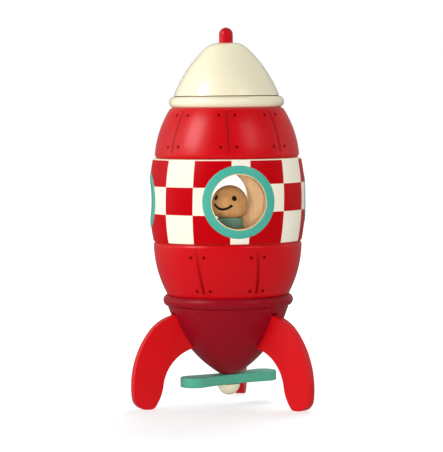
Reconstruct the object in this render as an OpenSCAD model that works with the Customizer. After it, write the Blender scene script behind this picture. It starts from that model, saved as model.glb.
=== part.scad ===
// Wooden stacking rocket. Five turned sections sit on each other face to face and are held
// by disc magnets. The hollow window section carries a peg pilot. Three slotted fins stand
// the rocket up, and a propeller spins on a ball-headed pin under the tail.
// The origin is on the rocket's axis at the floor, and the front window faces -Y.

/* [Section heights] */
// Gap from the floor to the flat bottom of the tail cone
tail_clearance = 20.4; // [20.2:0.1:21]
// Height of the tail cone with its bead
tail_h = 51.4; // [50:0.2:53]
// Height of the lower planked section
lower_h = 34.8; // [30:0.2:40]
// Height of the chequered window section
window_h = 53.4; // [52:0.2:58]
// Height of the upper planked section
upper_h = 32.4; // [28:0.2:38]
// Height of the nose cone without its tip
nose_h = 41.4; // [40:0.2:46]
// Height of the tip peg above the nose cone
tip_h = 9.8; // [8:0.2:14]

/* [Turned radii] */
// Largest radius of the body, half way up the window section
belly_r = 50.4; // [49:0.1:52]
// Radius where the window section meets its neighbours
waist_r = 47.8; // [46.6:0.1:48.4]
// Radius at the foot of the lower section
lower_foot_r = 39.1; // [37:0.1:40]
// Radius at the shoulder of the upper section, before its edge is rounded
shoulder_r = 36; // [35:0.1:38]
// Largest radius of the tail's bead
tail_bead_r = 42; // [41:0.1:43]
// Largest radius of the nose's bead
nose_bead_r = 37.1; // [36.5:0.1:38.5]
// Radius of the tip peg
tip_r = 4.45; // [3.5:0.05:5]

/* [Windows] */
// Inner radius of the front and back window rings
big_ring_in_r = 17.6; // [15:0.1:18]
// Width of the front and back window rings
big_ring_w = 5.5; // [3:0.1:6.5]
// Inner radius of the left and right window rings
small_ring_in_r = 14.1; // [8:0.1:14.5]
// Width of the left and right window rings
small_ring_w = 3.9; // [3:0.1:6]
// How far the rings stand proud of the barrel
ring_proud = 0.2; // [0:0.1:1]
// How deep the rings are let into the barrel
ring_seat = 2.5; // [1.5:0.1:3]
// Width of the bare wood edge that shows inside each ring
wood_lip = 0.4; // [0.2:0.1:1]
// Sideways offset of the front and back windows from the axis
window_offset = 1.5; // [0:0.1:2]
// Turn of the left and right windows from the front
side_window_turn = 93; // [90:0.5:95]

/* [Cabin] */
// Radius of the hollow inside the window section
cabin_r = 40; // [38:0.1:42]
// Thickness of the cabin's floor and ceiling discs
cabin_disc_t = 4.6; // [4:0.1:5]

/* [Pilot] */
// Radius of the pilot's ball head
head_r = 11.6; // [10:0.1:12]
// Height of the pilot's head
head_h = 21; // [20:0.1:22]
// Radius of the pilot's body at the neck
pilot_neck_r = 8.4; // [8:0.1:9]
// Radius of the pilot's body at the foot
pilot_foot_r = 9.4; // [9.1:0.1:11]
// Height of the pilot's body
pilot_body_h = 10; // [8:0.1:11]

/* [Fins] */
// Thickness of the fins and width of their slots
fin_t = 6; // [5:0.1:7]
// Turn of the right fin from the front, towards +X
fin_turn = 45; // [30:0.5:60]

/* [Propeller] */
// Half length of the propeller
blade_r = 37; // [33:0.1:39]
// Width of the propeller's round ends
blade_w = 18; // [15:0.1:20]
// Width of the propeller at its waist
blade_waist_w = 11.5; // [10:0.1:13]
// Thickness of the propeller
blade_t = 6.4; // [5:0.1:6.4]
// Turn of the propeller's first blade from the front, towards +X
blade_turn = -59; // [-180:1:180]
// Radius of the pin's shank
pin_r = 2.5; // [2:0.05:3]
// Radius of the pin's half-ball head
pin_head_r = 7.2; // [6:0.1:7.6]

/* [Magnets] */
// Radius of the disc magnets
magnet_r = 9; // [7:0.5:10]
// Thickness of the disc magnets
magnet_t = 3; // [2:0.1:3.5]
// Running clearance round a turning magnet or pin
running_gap = 0.05; // [0.02:0.01:0.1]

/* [Hidden] */

$fn = 96;
eps = 0.01;

// Heights of the planes where the sections meet
tail_top_z = tail_clearance + tail_h;
lower_top_z = tail_top_z + lower_h;
window_top_z = lower_top_z + window_h;
upper_top_z = window_top_z + upper_h;
nose_top_z = upper_top_z + nose_h;
window_z = (lower_top_z + window_top_z) / 2;
cabin_floor_z = lower_top_z + cabin_disc_t;

// Outward bow of each section's side, as the sagitta of its arc
lower_bow = 2.3;
window_bow = belly_r - waist_r;
upper_bow = 2.3;
tail_bow = 4.8;
nose_bow = 1.9;

// Rounding of the rims
soft_rim = 2.4;
foot_rim = 1;
fine_rim = 1.1;
shoulder_rim = 3.6;

// The upper section is a little narrower than the window section it stands on
upper_step = 1.1;

// The tail's bead, the short neck under it, and the step from the neck to the cone
tail_bead_rim_r = 3.9;
tail_bead_cut = 0.5;
tail_bead_c = [tail_bead_r - tail_bead_rim_r, tail_top_z - tail_bead_rim_r + tail_bead_cut];
tail_neck_r = 38.8;
tail_cone_r = 38.3;
tail_foot_r = 6;
cone_top_z = tail_top_z - 9.5;
step_h = 0.6;

// The nose's bead and the fine groove above it
nose_bead_rim_r = 3.7;
nose_bead_cut = 0.2;
nose_neck_r = 34;
groove_w = 0.6;
groove_depth = 0.5;

// Windows as [direction from the front, sideways offset]
big_windows = [[0, window_offset], [180, -window_offset]];
small_windows = [[-side_window_turn, 0], [side_window_turn, 0]];

// The nose's dome: centre radius and radius of the arc that closes it, and the angles at
// which it starts and steps off from the side
dome_centre_r = 4.5;
dome_r = 14;
dome_start = 45.5;
dome_step = 4;

// The propeller's underside, a little below the tail cone
propeller_gap = 0.3;
propeller_z = tail_clearance - propeller_gap - blade_t;

// Tenons and blind holes
tip_tenon = 10;
pin_tenon = 17.5;
pin_end_gap = 0.5;
pin_rest_gap = 0.15;
fin_root_r = 18;
slot_gap = 1.2;

// Fin outline, each arc as centre [r, z] and radius. The heel and the toe touch the floor.
fin_crown = [[31.9, 31.9], 28.3];
fin_back_arc = [[10.1, 14.5], 56.2];
fin_heel = [[57.5, 8.4], 8.4];
fin_toe = [[55, 4.2], 4.2];
fin_shin = [[76.1, 19.4], 30.2];
fin_arch = [[19.2, 11.4], 27.3];

// Angles at which one arc of the fin hands over to the next
fin_crown_end = 38.5;
fin_back_end = -7.3;
fin_toe_end = -144.4;
fin_shin_end = 188;
fin_arch_end = 78;
fin_top_z = fin_crown[0][1] + fin_crown[1];
fin_root_z = fin_arch[0][1] + fin_arch[1] * sin(fin_arch_end);

function polar(c, r, a) = c + r * [cos(a), sin(a)];

// Points along an arc about c from angle a0 to a1
function arc(c, r, a0, a1, n = 8) = [for (i = [0:n]) polar(c, r, a0 + (a1 - a0) * i / n)];

// Circle through p and q that bows outward by sag: [centre, radius]
function bow_circle(p, q, sag) =
    let (d = q - p, l = norm(d), r = (l * l / 4 + sag * sag) / (2 * sag))
    [(p + q) / 2 - (r - sag) * [d[1], -d[0]] / l, r];

// Angle, seen from c, at which a circle of radius r reaches height z on its outer side
function angle_at(c, r, z) = asin((z - c[1]) / r);

// Centre of a rim of radius e that is tangent to circle b and to the plane at height z;
// side is 1 for a rim below that plane and -1 for one above it
function rim_centre(b, z, e, side) =
    let (cz = z - side * e, a = angle_at(b[0], b[1] - e, cz))
    [b[0][0] + (b[1] - e) * cos(a), cz];

// Outline of a turned section from z0 to z1 with a bowed side and rounded rims
function section_outline(b, z0, z1, e0, e1) =
    let (
        c0 = rim_centre(b, z0, e0, -1),
        c1 = rim_centre(b, z1, e1, 1),
        a0 = angle_at(b[0], b[1] - e0, c0[1]),
        a1 = angle_at(b[0], b[1] - e1, c1[1])
    )
    concat(
        [[0, z0]],
        arc(c0, e0, -90, a0, 5),
        arc(b[0], b[1], a0, a1, 14),
        arc(c1, e1, a1, 90, 5),
        [[0, z1]]
    );

lower_circle = bow_circle([lower_foot_r, tail_top_z], [waist_r, lower_top_z], lower_bow);
window_circle = bow_circle([waist_r, lower_top_z], [waist_r, window_top_z], window_bow);
upper_circle = bow_circle([waist_r - upper_step, window_top_z], [shoulder_r, upper_top_z], upper_bow);
tail_circle = bow_circle([tail_foot_r, tail_clearance], [tail_cone_r, cone_top_z], tail_bow);

module turned(outline) {
    rotate_extrude() polygon(outline);
}

// Turns its children from the front (-Y) towards +X
module turn_from_front(a) {
    rotate([0, 0, a - 90]) children();
}

module disc(z, r, h) {
    translate([0, 0, z]) cylinder(r = r, h = h);
}

// A blind pocket for a glued magnet, open upward at height z
module magnet_pocket(z) {
    disc(z - magnet_t, magnet_r, magnet_t + eps);
}

// A pocket that turns freely on its magnet, open downward at height z
module turning_pocket(z) {
    disc(z - eps, magnet_r + running_gap, magnet_t + 2 * running_gap + eps);
}

module magnet(z) {
    color("silver") disc(z, magnet_r, magnet_t);
}

module nose_tip() {
    color("firebrick") turned(concat(
        [[0, nose_top_z - tip_tenon], [tip_r, nose_top_z - tip_tenon]],
        arc([0, nose_top_z + tip_h - tip_r], tip_r, 0, 90, 10)
    ));
}

module nose_cone() {
    bead_c = [nose_bead_r - nose_bead_rim_r, upper_top_z + nose_bead_rim_r - nose_bead_cut];
    bead_a = asin(1 - nose_bead_cut / nose_bead_rim_r);
    groove_z = bead_c[1] + nose_bead_rim_r * sin(bead_a);
    foot = [nose_neck_r, groove_z + groove_w];
    dome_c = [dome_centre_r, nose_top_z - dome_r];
    side = bow_circle(foot, polar(dome_c, dome_r, dome_start), nose_bow);
    color("cornsilk") difference() {
        turned(concat(
            [[0, upper_top_z]],
            arc(bead_c, nose_bead_rim_r, -bead_a, bead_a, 14),
            [[nose_neck_r - groove_depth, groove_z], [nose_neck_r - groove_depth, foot[1]]],
            arc(side[0], side[1],
                angle_at(side[0], side[1], foot[1]),
                angle_at(side[0], side[1], dome_c[1] + dome_r * sin(dome_start)), 12),
            arc(dome_c, dome_r, dome_start + dome_step, 90, 11),
            [[0, nose_top_z]]
        ));
        disc(nose_top_z - tip_tenon, tip_r, tip_tenon + 1);
        turning_pocket(upper_top_z);
    }
}

module nose_magnet() {
    magnet(upper_top_z);
}

module upper_section() {
    color("crimson") difference() {
        turned(section_outline(upper_circle, window_top_z, upper_top_z, soft_rim, shoulder_rim));
        turning_pocket(window_top_z);
        magnet_pocket(upper_top_z);
    }
}

module upper_top_magnet() {
    magnet(upper_top_z - magnet_t);
}

module upper_bottom_magnet() {
    magnet(window_top_z);
}

// The barrel of the window section as a solid, grown outward by grow
module barrel_solid(grow = 0) {
    circle_grown = [window_circle[0], window_circle[1] + grow];
    turned(section_outline(circle_grown, lower_top_z, window_top_z, fine_rim, fine_rim));
}

// A cylinder of radius r from the axis out through the window that faces a
module window_bore(a, offset, r) {
    turn_from_front(a) translate([0, offset, window_z]) rotate([0, 90, 0])
        cylinder(r = r, h = belly_r + 10);
}

module window_barrel() {
    color("tomato") difference() {
        barrel_solid();
        disc(lower_top_z - 1, cabin_r, window_h + 2);
        for (w = big_windows) window_bore(w[0], w[1], big_ring_in_r - wood_lip);
        for (w = small_windows) window_bore(w[0], w[1], small_ring_in_r - wood_lip);
        difference() {
            union() {
                for (w = big_windows) window_bore(w[0], w[1], big_ring_in_r + big_ring_w);
                for (w = small_windows) window_bore(w[0], w[1], small_ring_in_r + small_ring_w);
            }
            barrel_solid(-ring_seat);
        }
    }
}

// A ring that follows the barrel's curve round the window that faces a
module window_ring(a, offset, r, w) {
    color("mediumaquamarine") intersection() {
        difference() {
            window_bore(a, offset, r + w);
            window_bore(a, offset, r);
        }
        difference() {
            barrel_solid(ring_proud);
            barrel_solid(-ring_seat);
        }
    }
}

module front_window_ring() {
    window_ring(0, window_offset, big_ring_in_r, big_ring_w);
}

module back_window_ring() {
    window_ring(180, -window_offset, big_ring_in_r, big_ring_w);
}

module left_window_ring() {
    window_ring(-side_window_turn, 0, small_ring_in_r, small_ring_w);
}

module right_window_ring() {
    window_ring(side_window_turn, 0, small_ring_in_r, small_ring_w);
}

module cabin_ceiling() {
    color("burlywood") difference() {
        disc(window_top_z - cabin_disc_t, cabin_r, cabin_disc_t);
        magnet_pocket(window_top_z);
    }
}

module cabin_floor() {
    color("burlywood") difference() {
        disc(lower_top_z, cabin_r, cabin_disc_t);
        turning_pocket(lower_top_z);
    }
}

module window_top_magnet() {
    magnet(window_top_z - magnet_t);
}

module window_bottom_magnet() {
    magnet(lower_top_z);
}

// A turned ball with a full jaw and a flat underside, glued on the body's neck
module pilot_head() {
    foot_z = cabin_floor_z + pilot_body_h;
    jaw_r = 6;
    ball_z = foot_z + head_h - head_r;
    color("peru") translate([window_offset, 0, 0]) turned(concat(
        [[0, foot_z]],
        arc([head_r - jaw_r, foot_z + jaw_r], jaw_r, -90, 0, 8),
        arc([0, ball_z], head_r, 0, 90, 16)
    ));
}

// A short tapered peg with a chamfered foot and a scored line under its collar
module pilot_body() {
    neck_z = cabin_floor_z + pilot_body_h;
    line_z = neck_z - 2;
    chamfer = 0.5;
    line_w = 0.3;
    color("cadetblue") translate([window_offset, 0, 0]) turned([
        [0, cabin_floor_z],
        [pilot_foot_r - chamfer, cabin_floor_z],
        [pilot_foot_r, cabin_floor_z + chamfer],
        [pilot_neck_r, line_z],
        [pilot_neck_r - line_w, line_z],
        [pilot_neck_r - line_w, line_z + line_w],
        [pilot_neck_r, line_z + line_w],
        [pilot_neck_r, neck_z],
        [0, neck_z]
    ]);
}

module lower_section() {
    color("crimson") difference() {
        turned(section_outline(lower_circle, tail_top_z, lower_top_z, foot_rim, soft_rim));
        turning_pocket(tail_top_z);
        magnet_pocket(lower_top_z);
    }
}

module lower_top_magnet() {
    magnet(lower_top_z - magnet_t);
}

module lower_bottom_magnet() {
    magnet(tail_top_z);
}

// A bead, a short neck and the round cone, whose top edge steps in a little under the neck
module tail_cone() {
    bead_foot = acos((tail_neck_r - tail_bead_c[0]) / tail_bead_rim_r);
    bead_top = asin((tail_top_z - tail_bead_c[1]) / tail_bead_rim_r);
    color("darkred") difference() {
        turned(concat(
            [[0, tail_clearance]],
            arc(tail_circle[0], tail_circle[1],
                angle_at(tail_circle[0], tail_circle[1], tail_clearance),
                angle_at(tail_circle[0], tail_circle[1], cone_top_z), 20),
            [[tail_cone_r, cone_top_z + step_h], [tail_neck_r, cone_top_z + step_h]],
            arc(tail_bead_c, tail_bead_rim_r, -bead_foot, bead_top, 14),
            [[0, tail_top_z]]
        ));
        for (k = [0:2]) fin_slot(fin_turn + 120 * k);
        disc(tail_clearance - eps, pin_r, pin_tenon + eps);
        magnet_pocket(tail_top_z);
    }
}

module tail_magnet() {
    magnet(tail_top_z - magnet_t);
}

// The slot that holds a fin's root, left a little open above the fin
module fin_slot(a) {
    turn_from_front(a) translate([fin_root_r, -fin_t / 2, fin_root_z])
        cube([belly_r, fin_t, fin_top_z - fin_root_z + slot_gap]);
}

// A flat curved fin that faces a: crown, back, heel, flat foot, toe, shin and arch
module fin(a) {
    color("red") turn_from_front(a) rotate([90, 0, 0]) translate([0, 0, -fin_t / 2])
        linear_extrude(height = fin_t) polygon(concat(
            [[fin_root_r, fin_top_z]],
            arc(fin_crown[0], fin_crown[1], 90, fin_crown_end, 12),
            arc(fin_back_arc[0], fin_back_arc[1], fin_crown_end, fin_back_end, 14),
            arc(fin_heel[0], fin_heel[1], fin_back_end, -90, 10),
            arc(fin_toe[0], fin_toe[1], -90, fin_toe_end, 6),
            arc(fin_shin[0], fin_shin[1], 360 + fin_toe_end, fin_shin_end, 8),
            arc(fin_arch[0], fin_arch[1], fin_shin_end - 180, fin_arch_end, 14),
            [[fin_root_r, fin_root_z]]
        ));
}

module fin_right() {
    fin(fin_turn);
}

module fin_back() {
    fin(fin_turn + 120);
}

module fin_left() {
    fin(fin_turn + 240);
}

// Outline of the propeller: two round ends joined by two hollow flanks, each an arc that is
// tangent to both ends
function propeller_outline() =
    let (
        end_r = blade_w / 2,
        end_x = blade_r - end_r,
        waist = blade_waist_w / 2,
        flank_r = (end_x * end_x + waist * waist - end_r * end_r) / (2 * (end_r - waist)),
        flank_y = flank_r + waist,
        b = atan2(flank_y, end_x)
    )
    concat(
        arc([end_x, 0], end_r, b - 180, 180 - b, 24),
        arc([0, flank_y], flank_r, -b - 1, b - 179, 12),
        arc([-end_x, 0], end_r, b, 360 - b, 24),
        arc([0, -flank_y], flank_r, 179 - b, b + 1, 12)
    );

module propeller() {
    color("mediumseagreen") translate([0, 0, propeller_z]) difference() {
        turn_from_front(blade_turn) linear_extrude(height = blade_t) polygon(propeller_outline());
        translate([0, 0, -1]) cylinder(r = pin_r + running_gap, h = blade_t + 2);
    }
}

// A half-ball head with a straight shank, glued into the tail cone
module propeller_pin() {
    head_z = propeller_z - pin_rest_gap;
    shank_top_z = tail_clearance + pin_tenon - pin_end_gap;
    color("cornsilk") turned(concat(
        arc([0, head_z], pin_head_r, -90, 0, 12),
        [
            [pin_r, head_z],
            [pin_r, shank_top_z],
            [0, shank_top_z]
        ]
    ));
}

nose_tip();
nose_cone();
nose_magnet();
upper_section();
upper_top_magnet();
upper_bottom_magnet();
window_barrel();
cabin_ceiling();
cabin_floor();
window_top_magnet();
window_bottom_magnet();
front_window_ring();
back_window_ring();
left_window_ring();
right_window_ring();
pilot_head();
pilot_body();
lower_section();
lower_top_magnet();
lower_bottom_magnet();
tail_cone();
tail_magnet();
fin_left();
fin_right();
fin_back();
propeller();
propeller_pin();
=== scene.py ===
"""Looks of the wooden stacking rocket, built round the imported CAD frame.

Every turned part is a lathe of its own outline, in millimetres, with heights taken from the
frame. The planked sections have engraved seams and rivets, the barrel is bored for its
windows, and each material is a node-based paint, wood, ink or metal.
"""

import math

import bmesh
import bpy
from mathutils import Matrix, Vector


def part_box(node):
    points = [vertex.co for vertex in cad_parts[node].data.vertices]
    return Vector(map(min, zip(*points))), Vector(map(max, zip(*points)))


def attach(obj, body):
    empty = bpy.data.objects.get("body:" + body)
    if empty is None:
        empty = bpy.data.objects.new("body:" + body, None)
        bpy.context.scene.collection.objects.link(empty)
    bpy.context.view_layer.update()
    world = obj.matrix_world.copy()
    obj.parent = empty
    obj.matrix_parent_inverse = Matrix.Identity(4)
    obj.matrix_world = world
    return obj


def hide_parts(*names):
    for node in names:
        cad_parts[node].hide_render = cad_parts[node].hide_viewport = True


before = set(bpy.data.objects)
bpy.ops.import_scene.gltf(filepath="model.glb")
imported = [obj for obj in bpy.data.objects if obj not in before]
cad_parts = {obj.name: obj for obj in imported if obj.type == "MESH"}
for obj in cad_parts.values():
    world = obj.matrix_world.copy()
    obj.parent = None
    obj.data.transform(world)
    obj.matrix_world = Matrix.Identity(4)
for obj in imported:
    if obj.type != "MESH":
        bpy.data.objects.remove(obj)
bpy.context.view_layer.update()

MM = 0.001


# ---------------- sizes, in millimetres

def height(node):
    """Lowest and highest z of a CAD node."""
    low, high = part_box(node)
    return low.z / MM, high.z / MM


TAIL_Z0, TAIL_Z1 = height("tail_cone")
LOWER_Z0, LOWER_Z1 = height("lower_section")
WINDOW_Z0, WINDOW_Z1 = height("window_barrel")
UPPER_Z0, UPPER_Z1 = height("upper_section")
NOSE_Z0, NOSE_Z1 = height("nose_cone")
TIP_Z0, TIP_Z1 = height("nose_tip")
FLOOR_Z0, FLOOR_Z1 = height("cabin_floor")
CEILING_Z0, CEILING_Z1 = height("cabin_ceiling")
HEAD_Z0, HEAD_Z1 = height("pilot_head")
BLADE_Z0, BLADE_Z1 = height("propeller")
PIN_Z0, PIN_Z1 = height("propeller_pin")
WINDOW_Z = (WINDOW_Z0 + WINDOW_Z1) / 2

# The turned sections: radii, how far a flank bows out, and the radii of their rims.
LOWER_FOOT_R = 39.1
WAIST_R = 47.8
BELLY_R = 50.4
UPPER_FOOT_R = WAIST_R - 1.1
SHOULDER_R = 36.0
FLANK_SAG = 2.3
FOOT_RIM = 1.0
FINE_RIM = 1.1
SOFT_RIM = 2.4
SHOULDER_RIM = 3.6
CABIN_R = 40.0

# The disc magnets, and the play round the ones that a section turns on.
MAGNET_R = 9.0
MAGNET_T = 3.0
GAP = 0.05
TURNING_R = MAGNET_R + GAP
TURNING_DEPTH = MAGNET_T + 2 * GAP

# The windows: inner and outer radius of the rings, how far they stand out of the barrel and
# reach into it, and how much wood shows inside them. WINDOW_OFFSET is how far the front and
# back windows and the pilot sit to +X of the axis.
BIG_RING = (17.6, 23.1)
SMALL_RING = (14.1, 18.0)
RING_PROUD = 0.2
RING_SEAT = 2.5
WOOD_LIP = 0.4
WINDOW_OFFSET = 1.5
SIDE_WINDOW_TURN = 93

TIP_R = 4.45
HEAD_R = 11.6
JAW_R = 6.0
PIN_R = 2.5
PIN_HEAD_R = 7.2

FIN_T = 6.0
FIN_ROUND_R = 0.7
FIN_TURN = {"fin_right": 45, "fin_back": 165, "fin_left": 285}
FIN_ROOT_R = 18.0

BLADE_R = 37.0
BLADE_W = 18.0
BLADE_WAIST_W = 11.5
BLADE_ROUND_R = 0.9
BLADE_TURN = -59.0

# Directions, in degrees from the front (-Y) towards +X.
CAMERA_TURN = -7.0
FACE_TURN = -24.6


# ---------------- outlines

def sin_cos(a):
    """Sine and cosine of an angle in degrees."""
    return math.sin(math.radians(a)), math.cos(math.radians(a))


def polar(centre, r, a):
    """Point at angle a, in degrees, on the circle of radius r about centre."""
    s, c = sin_cos(a)
    return (centre[0] + r * c, centre[1] + r * s)


def arc(c, r, a0, a1, n):
    """Points along an arc about c from angle a0 to a1, in n steps."""
    return [polar(c, r, a0 + (a1 - a0) * i / n) for i in range(n + 1)]


def bow_circle(p, q, sag):
    """Circle through p and q that bows outward by sag, as (centre, radius)."""
    dx, dy = q[0] - p[0], q[1] - p[1]
    length = math.hypot(dx, dy)
    r = (length * length / 4 + sag * sag) / (2 * sag)
    mid = ((p[0] + q[0]) / 2, (p[1] + q[1]) / 2)
    k = (r - sag) / length
    return (mid[0] - k * dy, mid[1] + k * dx), r


def angle_at(c, r, z):
    """Angle at which the circle reaches height z on its outer side."""
    return math.degrees(math.asin((z - c[1]) / r))


def rim_centre(belly, z, e, side):
    """Centre of a rim of radius e, tangent to the belly circle and to the plane at z."""
    c, r = belly
    cz = z - side * e
    return (c[0] + (r - e) * math.cos(math.radians(angle_at(c, r - e, cz))), cz)


def section_side(belly, z0, z1, e0, e1, n):
    """Side of a turned section from z0 to z1: rounded rim, bowed flank, rounded rim."""
    c, r = belly
    c0, c1 = rim_centre(belly, z0, e0, -1), rim_centre(belly, z1, e1, 1)
    a0, a1 = angle_at(c, r - e0, c0[1]), angle_at(c, r - e1, c1[1])
    rim0 = arc(c0, e0, -90, a0, 8)
    rim1 = arc(c1, e1, a1, 90, 10)
    return rim0 + arc(c, r, a0, a1, n)[1:-1] + rim1


def magnet_pocket(z, up):
    """Outline of a magnet's pocket at z: from the axis out if it opens down, inward if up.

    The magnet in an underside is the one that a section turns on, so it has play.
    """
    r, rise = (MAGNET_R, -MAGNET_T) if up else (TURNING_R, TURNING_DEPTH)
    points = [(0, z + rise), (r, z + rise), (r, z)]
    return points[::-1] if up else points


LOWER_BELLY = bow_circle((LOWER_FOOT_R, LOWER_Z0), (WAIST_R, LOWER_Z1), FLANK_SAG)
WINDOW_BELLY = bow_circle((WAIST_R, WINDOW_Z0), (WAIST_R, WINDOW_Z1), BELLY_R - WAIST_R)
UPPER_BELLY = bow_circle((UPPER_FOOT_R, UPPER_Z0), (SHOULDER_R, UPPER_Z1), FLANK_SAG)


# ---------------- mesh building

CREASE = 38
WEAR_PER_BEND = 0.9
SHORTEST_STEP = 0.05
SLAB_EDGE_WEAR = 0.8
BOX_FACES = [(0, 1, 3, 2), (4, 6, 7, 5), (0, 4, 5, 1), (2, 3, 7, 6), (0, 2, 6, 4), (1, 5, 7, 3)]


def new_object(name, data):
    """Links an object that shows a mesh, a lamp or a camera to the scene."""
    obj = bpy.data.objects.new(name, data)
    bpy.context.scene.collection.objects.link(obj)
    return obj


def smooth_shade(mesh, crease=CREASE):
    """Smooth shading, with sharp edges where faces meet at more than crease degrees."""
    mesh.shade_smooth()
    mesh.set_sharp_from_angle(angle=math.radians(crease))


def mesh_object(name, points, faces, crease=CREASE):
    """A smooth-shaded object from points in millimetres."""
    mesh = bpy.data.meshes.new(name)
    mesh.from_pydata([[x * MM for x in p] for p in points], [], faces)
    mesh.validate()
    smooth_shade(mesh, crease)
    return new_object(name, mesh)


def set_attribute(obj, name, values):
    """Stores one number per vertex for the materials to read."""
    attribute = obj.data.attributes.new(name, "FLOAT", "POINT")
    attribute.data.foreach_set("value", values)


def outline_wear(outline, closed):
    """How sharply an outline turns at each point, 0 to 1: where paint wears first."""
    wear = []
    n = len(outline)
    for i, p in enumerate(outline):
        if not closed and i in (0, n - 1):
            wear.append(0.0)
            continue
        a, b = outline[i - 1], outline[(i + 1) % n]
        u, v = (p[0] - a[0], p[1] - a[1]), (b[0] - p[0], b[1] - p[1])
        turn = math.atan2(u[0] * v[1] - u[1] * v[0], u[0] * v[0] + u[1] * v[1])
        bend = turn / max(SHORTEST_STEP, (math.hypot(*u) + math.hypot(*v)) / 2)
        wear.append(min(1.0, max(0.0, bend * WEAR_PER_BEND)))
    return wear


def lathe(name, outline, angles=256, centre=(0, 0), closed=False, carve=None):
    """Turns an outline of (r, z) points about the vertical axis at centre.

    angles is a number of even steps or a list of degrees from the front (-Y) towards +X.
    carve(angle, r, z) may return (depth, dark): how far the surface is cut in there and how
    dark the cut is painted: seam and rivet paint on the planks, painted shade in the nose's
    groove. An open outline starts and ends on the axis.
    """
    if isinstance(angles, int):
        angles = [360 * i / angles for i in range(angles)]
    wear = outline_wear(outline, closed)
    points, wears, darks, rows = [], [], [], []
    for (r, z), w in zip(outline, wear):
        row = []
        on_axis = r < 1e-6
        for a in angles[:1] if on_axis else angles:
            depth, dark = carve(a, r, z) if carve else (0.0, 0.0)
            s, c = sin_cos(a)
            row.append(len(points))
            points.append((centre[0] + (r - depth) * s, centre[1] - (r - depth) * c, z))
            wears.append(w)
            darks.append(dark)
        rows.append(row)
    faces = []
    pairs = list(zip(rows, rows[1:])) + ([(rows[-1], rows[0])] if closed else [])
    n = len(angles)
    for low, high in pairs:
        for i in range(n):
            j = (i + 1) % n
            if len(low) == 1 and len(high) == 1:
                break
            if len(low) == 1:
                faces.append((low[0], high[j], high[i]))
            elif len(high) == 1:
                faces.append((low[i], low[j], high[0]))
            else:
                faces.append((low[i], low[j], high[j], high[i]))
    obj = mesh_object(name, points, faces)
    set_attribute(obj, "wear", wears)
    set_attribute(obj, "cut", darks)
    return obj


def bake_modifiers(obj):
    """Replaces an object's mesh by what its modifiers make of it."""
    graph = bpy.context.evaluated_depsgraph_get()
    mesh = bpy.data.meshes.new_from_object(obj.evaluated_get(graph))
    obj.modifiers.clear()
    old = obj.data
    obj.data = mesh
    bpy.data.meshes.remove(old)
    mesh.name = obj.name


def cut_away(obj, cutters):
    """Subtracts solid cutters from obj and removes them."""
    for cutter in cutters:
        m = obj.modifiers.new("cut", "BOOLEAN")
        m.operation = "DIFFERENCE"
        m.solver = "EXACT"
        m.object = cutter
    bake_modifiers(obj)
    for cutter in cutters:
        bpy.data.objects.remove(cutter)
    smooth_shade(obj.data)


def round_bar(name, r, ends, steps):
    """A round bar along Z between two heights, to cut with."""
    points = [(*polar((0, 0), r, 360 * i / steps), z) for z in ends for i in range(steps)]
    faces = [tuple(range(steps))[::-1], tuple(range(steps, 2 * steps))]
    faces += [(i, (i + 1) % steps, steps + (i + 1) % steps, steps + i) for i in range(steps)]
    return mesh_object(name, points, faces)


def box_bar(name, xs, ys, zs):
    """A box between the two values given for each axis, to cut with."""
    return mesh_object(name, [(x, y, z) for x in xs for y in ys for z in zs], BOX_FACES)


UPRIGHT = Matrix.Rotation(math.radians(90), 4, "X")


def turned_from_front(a):
    """Rotation that takes +X to the direction a degrees from the front, towards +X."""
    return Matrix.Rotation(math.radians(a - 90), 4, "Z")


def slab(name, outline, thickness, round_r, place):
    """A flat board cut to an outline, with rounded edges; place puts it in the frame."""
    bm = bmesh.new()
    half = thickness / 2
    ring = [bm.verts.new((x * MM, y * MM, -half * MM)) for x, y in outline]
    face = bm.faces.new(ring)
    top = bmesh.ops.extrude_face_region(bm, geom=[face])["geom"]
    moved = [v for v in top if isinstance(v, bmesh.types.BMVert)]
    bmesh.ops.translate(bm, verts=moved, vec=(0, 0, thickness * MM))
    bmesh.ops.recalc_face_normals(bm, faces=bm.faces)
    edges = [e for e in bm.edges if abs(e.verts[0].co.z - e.verts[1].co.z) < half * MM]
    done = bmesh.ops.bevel(bm, geom=edges, offset=round_r * MM, segments=4, profile=0.5,
                           affect="EDGES", clamp_overlap=True)
    worn = set(done["verts"])
    layer = bm.verts.layers.float.new("wear")
    for v in bm.verts:
        on_face = abs(abs(v.co.z) - half * MM) < 1e-6
        v[layer] = SLAB_EDGE_WEAR if v in worn and on_face else 0.0
    bmesh.ops.transform(bm, matrix=place, verts=bm.verts)
    mesh = bpy.data.meshes.new(name)
    bm.to_mesh(mesh)
    bm.free()
    smooth_shade(mesh)
    return new_object(name, mesh)


# ---------------- materials

def srgb(r, g, b):
    """A display colour, 0 to 255 each, as the linear values that shaders use."""
    def linear(v):
        v /= 255
        return v / 12.92 if v <= 0.04045 else ((v + 0.055) / 1.055) ** 2.4
    return (linear(r), linear(g), linear(b), 1.0)


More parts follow.
